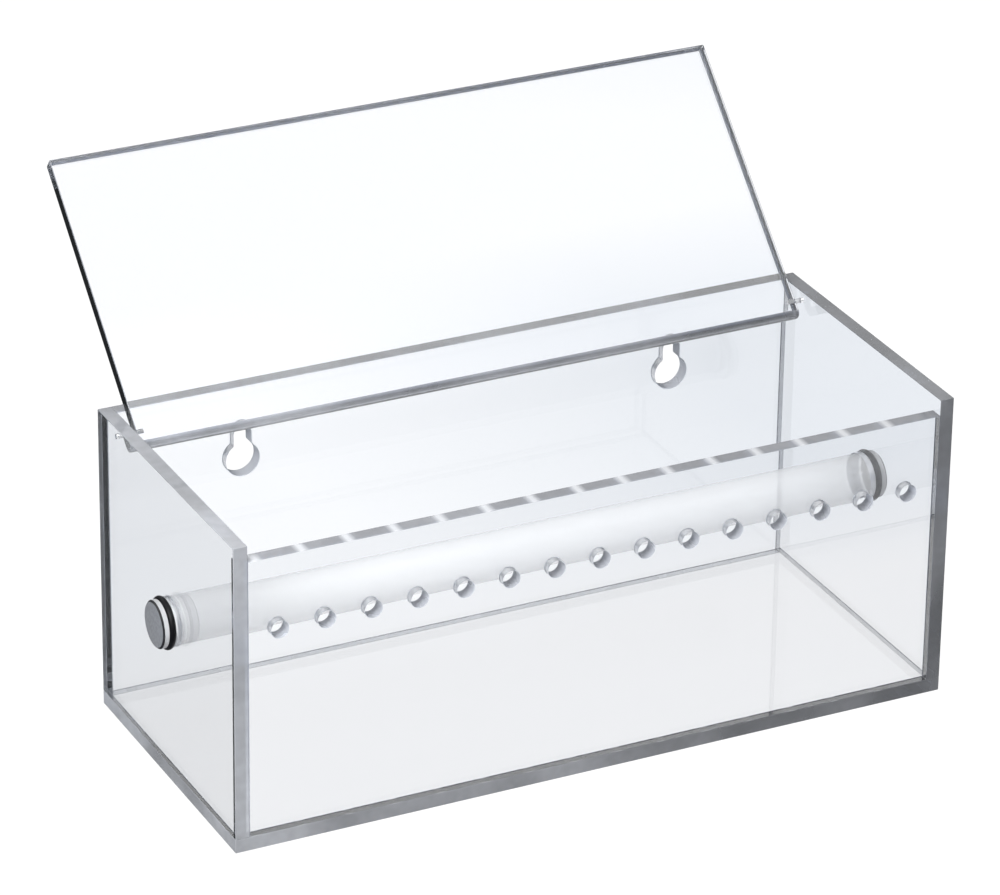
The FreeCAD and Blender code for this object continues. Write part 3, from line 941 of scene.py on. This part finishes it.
class SPOOLBOX_OT_rod(bpy.types.Operator):
    """Build the clear rod with its two ring grooves"""

    bl_idname = "spoolbox.rod"
    bl_label = "Rod"

    def execute(self, context):
        sizes = settings()[0]
        low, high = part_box("rod")
        radius, chamfer = (high.z - low.z) / 2, sizes.rod_chamfer
        half = (high.x - low.x) / 2
        floor = radius - sizes.groove_depth
        outer, inner = half - sizes.end_land, half - sizes.end_land - sizes.groove_width
        # the right half goes down into the groove, up out of it, along the land and in over the chamfer
        # to the end's middle, and the left half mirrors it
        right = [(inner, radius), (inner, floor), (outer, floor), (outer, radius),
                 (half - chamfer, radius), (half, radius - chamfer), (half, 0)]
        corners = [(-place, size) for place, size in right[::-1]] + right
        profile = eased(corners, 0.12 * MM, sizes.arc_steps)
        middles = np.abs(profile[:-1] + profile[1:]) / 2
        # the chamfers' finish, painted dark, is 2 and the end faces' is 1
        worked = np.where(middles[:, 0] > half - chamfer, 2, 0)
        worked[(middles[:, 0] > half - chamfer / 8) & (middles[:, 1] < radius - chamfer)] = 1
        shell = turned(profile, ROD_CENTRE, 144, worked)
        piece = shell.piece("rod_clear", ["clear_acrylic_rod", "sawn_acrylic_end", "cut_acrylic_chamfer"])
        settle(piece, "rod", "clear_acrylic_rod", "rod")
        return {"FINISHED"}


class SPOOLBOX_OT_o_rings(bpy.types.Operator):
    """Build the two rubber rings"""

    bl_idname = "spoolbox.o_rings"
    bl_label = "Rubber rings"

    def execute(self, context):
        sizes = settings()[0]
        for node in ("o_ring_left", "o_ring_right"):
            low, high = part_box(node)
            section = (high.x - low.x) / 2
            middle, centre = (high.z - low.z) / 2 - section, (low.x + high.x) / 2
            # the section is a circle, with a low ridge where the halves of the mould met
            around = np.linspace(0.0, 2 * np.pi, 48, endpoint=False)
            ridge = sizes.mould_line * (np.exp(-(np.sin(around) / 0.09) ** 2) - 1)
            reach = section + ridge
            profile = np.stack([centre + reach * np.sin(around), middle + reach * np.cos(around)], axis=-1)
            profile = np.concatenate([profile, profile[:1]])
            shell = turned(profile, ROD_CENTRE, 120)
            piece = shell.piece(f"{node}_rubber", ["moulded_black_rubber"])
            settle(piece, "rings", "black_rubber", node)
        return {"FINISHED"}


# ---------------------------------------------------------------- studio


def camera_rows(studio):
    """The camera's right, up and back directions from its azimuth, elevation and roll."""
    azimuth, elevation, roll = studio.azimuth, studio.elevation, studio.roll
    back = Vector((math.sin(azimuth) * math.cos(elevation), -math.cos(azimuth) * math.cos(elevation),
                   math.sin(elevation)))
    right = Vector((math.cos(azimuth), math.sin(azimuth), 0.0))
    up = back.cross(right)
    return (math.cos(roll) * right + math.sin(roll) * up,
            math.cos(roll) * up - math.sin(roll) * right, back)


def add_camera(studio):
    """The camera, its distance back from the point it aims at."""
    data = bpy.data.cameras.new("studio_camera")
    data.lens, data.sensor_width = studio.lens, 36.0
    data.shift_x, data.shift_y = studio.shift
    data.clip_start, data.clip_end = 0.05, 50.0
    camera = bpy.data.objects.new("studio_camera", data)
    right, up, back = camera_rows(studio)
    turn = Matrix((right, up, back)).transposed().to_4x4()
    camera.matrix_world = Matrix.Translation(Vector(studio.aim) + back * studio.distance) @ turn
    bpy.context.scene.collection.objects.link(camera)
    bpy.context.scene.camera = camera


def add_floor(studio):
    """A wide, softly glowing floor just under the base: white to the camera, and to the sheets that refract
    it a painted shadow of the box, a little greyer behind it and to its right, and painted shade far off."""
    signs = ((-1, -1), (1, -1), (1, 1), (-1, 1))
    mesh = bpy.data.meshes.new("studio_floor")
    mesh.from_pydata([(x * FLOOR_HALF, y * FLOOR_HALF, -FLOOR_DROP) for x, y in signs], [], [(0, 1, 2, 3)])
    finish = Finish("studio_floor")
    axes = finish.axes()
    # painted shadow: for the sheets the floor is greyer behind the box and to its right, and darker far off
    left, right = (finish.bands(axes["Y"], stops) for stops in (FLOOR_SHADE_LEFT, FLOOR_SHADE_RIGHT))
    near = finish.mix(finish.ranged(axes["X"], *FLOOR_TURN, 0.0, 1.0), left, right)
    reach = finish.node("ShaderNodeVectorMath", operation="LENGTH", Vector=finish.place).outputs["Value"]
    shade = finish.mix(finish.ranged(reach, *FLOOR_REACH, 0.0, 1.0), near, FLOOR_SHADE_FAR)
    seen = finish.node("ShaderNodeLightPath").outputs["Is Camera Ray"]
    finish.feed(finish.shader, Base_Color=(0, 0, 0), Specular_IOR_Level=0.0,
                Emission_Strength=studio.floor_light, Emission_Color=finish.mix(seen, shade, (1, 1, 1)))
    mesh.materials.append(finish.material)
    floor = bpy.data.objects.new("studio_floor", mesh)
    floor.visible_glossy = False
    bpy.context.scene.collection.objects.link(floor)


def add_softbox(name, place, aim, size, power):
    """A rectangular lamp, turned from its place to the point it is aimed at."""
    data = bpy.data.lights.new(name, "AREA")
    data.shape, data.size, data.size_y, data.energy = "RECTANGLE", size[0], size[1], power
    light = bpy.data.objects.new(name, data)
    away = Vector(place) - Vector(aim)
    light.matrix_world = Matrix.Translation(place) @ away.to_track_quat("Z", "Y").to_matrix().to_4x4()
    light.visible_camera = False
    bpy.context.scene.collection.objects.link(light)


def add_world():
    """A white room above the floor, darker low down, and dim on matt surfaces so that the lamps show."""
    world = bpy.data.worlds.new("studio_world")
    world.use_nodes = True
    bpy.context.scene.world = world
    wiring = Wiring(world.node_tree)
    place = wiring.node("ShaderNodeTexCoord").outputs["Generated"]
    height = wiring.node("ShaderNodeSeparateXYZ", Vector=place).outputs["Z"]
    path = wiring.node("ShaderNodeLightPath").outputs
    wiring.feed(world.node_tree.nodes["Background"],
                Color=wiring.mix(path["Is Camera Ray"], wiring.bands(height, SKY), (1, 1, 1)),
                Strength=wiring.ranged(path["Is Diffuse Ray"], 0.0, 1.0, 1.0, 0.45))


class SPOOLBOX_OT_stage(bpy.types.Operator):
    """Set up the camera, the pale floor and the soft lights"""

    bl_idname = "spoolbox.stage"
    bl_label = "Studio"

    def execute(self, context):
        studio = settings()[2]
        add_camera(studio)
        add_floor(studio)
        add_world()
        for softbox in SOFTBOXES:
            add_softbox(*softbox)
        context.scene.view_settings.view_transform = "Standard"
        return {"FINISHED"}


PIECES = (
    SPOOLBOX_OT_stage, SPOOLBOX_OT_base_panel, SPOOLBOX_OT_front_panel, SPOOLBOX_OT_back_panel,
    SPOOLBOX_OT_side_panels, SPOOLBOX_OT_lid, SPOOLBOX_OT_hinge_pins, SPOOLBOX_OT_rod, SPOOLBOX_OT_o_rings,
)


class SPOOLBOX_PT_panel(bpy.types.Panel):
    """The box's operators and settings in the 3D view's sidebar"""

    bl_idname = "SPOOLBOX_PT_panel"
    bl_label = "Spool Dispenser Box"
    bl_space_type = "VIEW_3D"
    bl_region_type = "UI"
    bl_category = "Spool Box"

    def draw(self, context):
        for operator in PIECES:
            self.layout.operator(operator.bl_idname)
        for group in settings():
            box = self.layout.box()
            for name in group.bl_rna.properties.keys():
                if name not in ("rna_type", "name"):
                    box.prop(group, name)


CLASSES = (SPOOLBOX_PG_sizes, SPOOLBOX_PG_finishes, SPOOLBOX_PG_studio, *PIECES, SPOOLBOX_PT_panel)


def register():
    """Registers the classes and hangs the settings on the scene."""
    for kind in CLASSES:
        bpy.utils.register_class(kind)
    bpy.types.Scene.spoolbox_sizes = PointerProperty(type=SPOOLBOX_PG_sizes)
    bpy.types.Scene.spoolbox_finishes = PointerProperty(type=SPOOLBOX_PG_finishes)
    bpy.types.Scene.spoolbox_studio = PointerProperty(type=SPOOLBOX_PG_studio)


def unregister():
    """Takes back what register did."""
    del bpy.types.Scene.spoolbox_sizes, bpy.types.Scene.spoolbox_finishes, bpy.types.Scene.spoolbox_studio
    for kind in reversed(CLASSES):
        bpy.utils.unregister_class(kind)


def main():
    register()
    for operator in PIECES:
        group, name = operator.bl_idname.split(".")
        getattr(getattr(bpy.ops, group), name)()


if __name__ == "__main__":
    main()
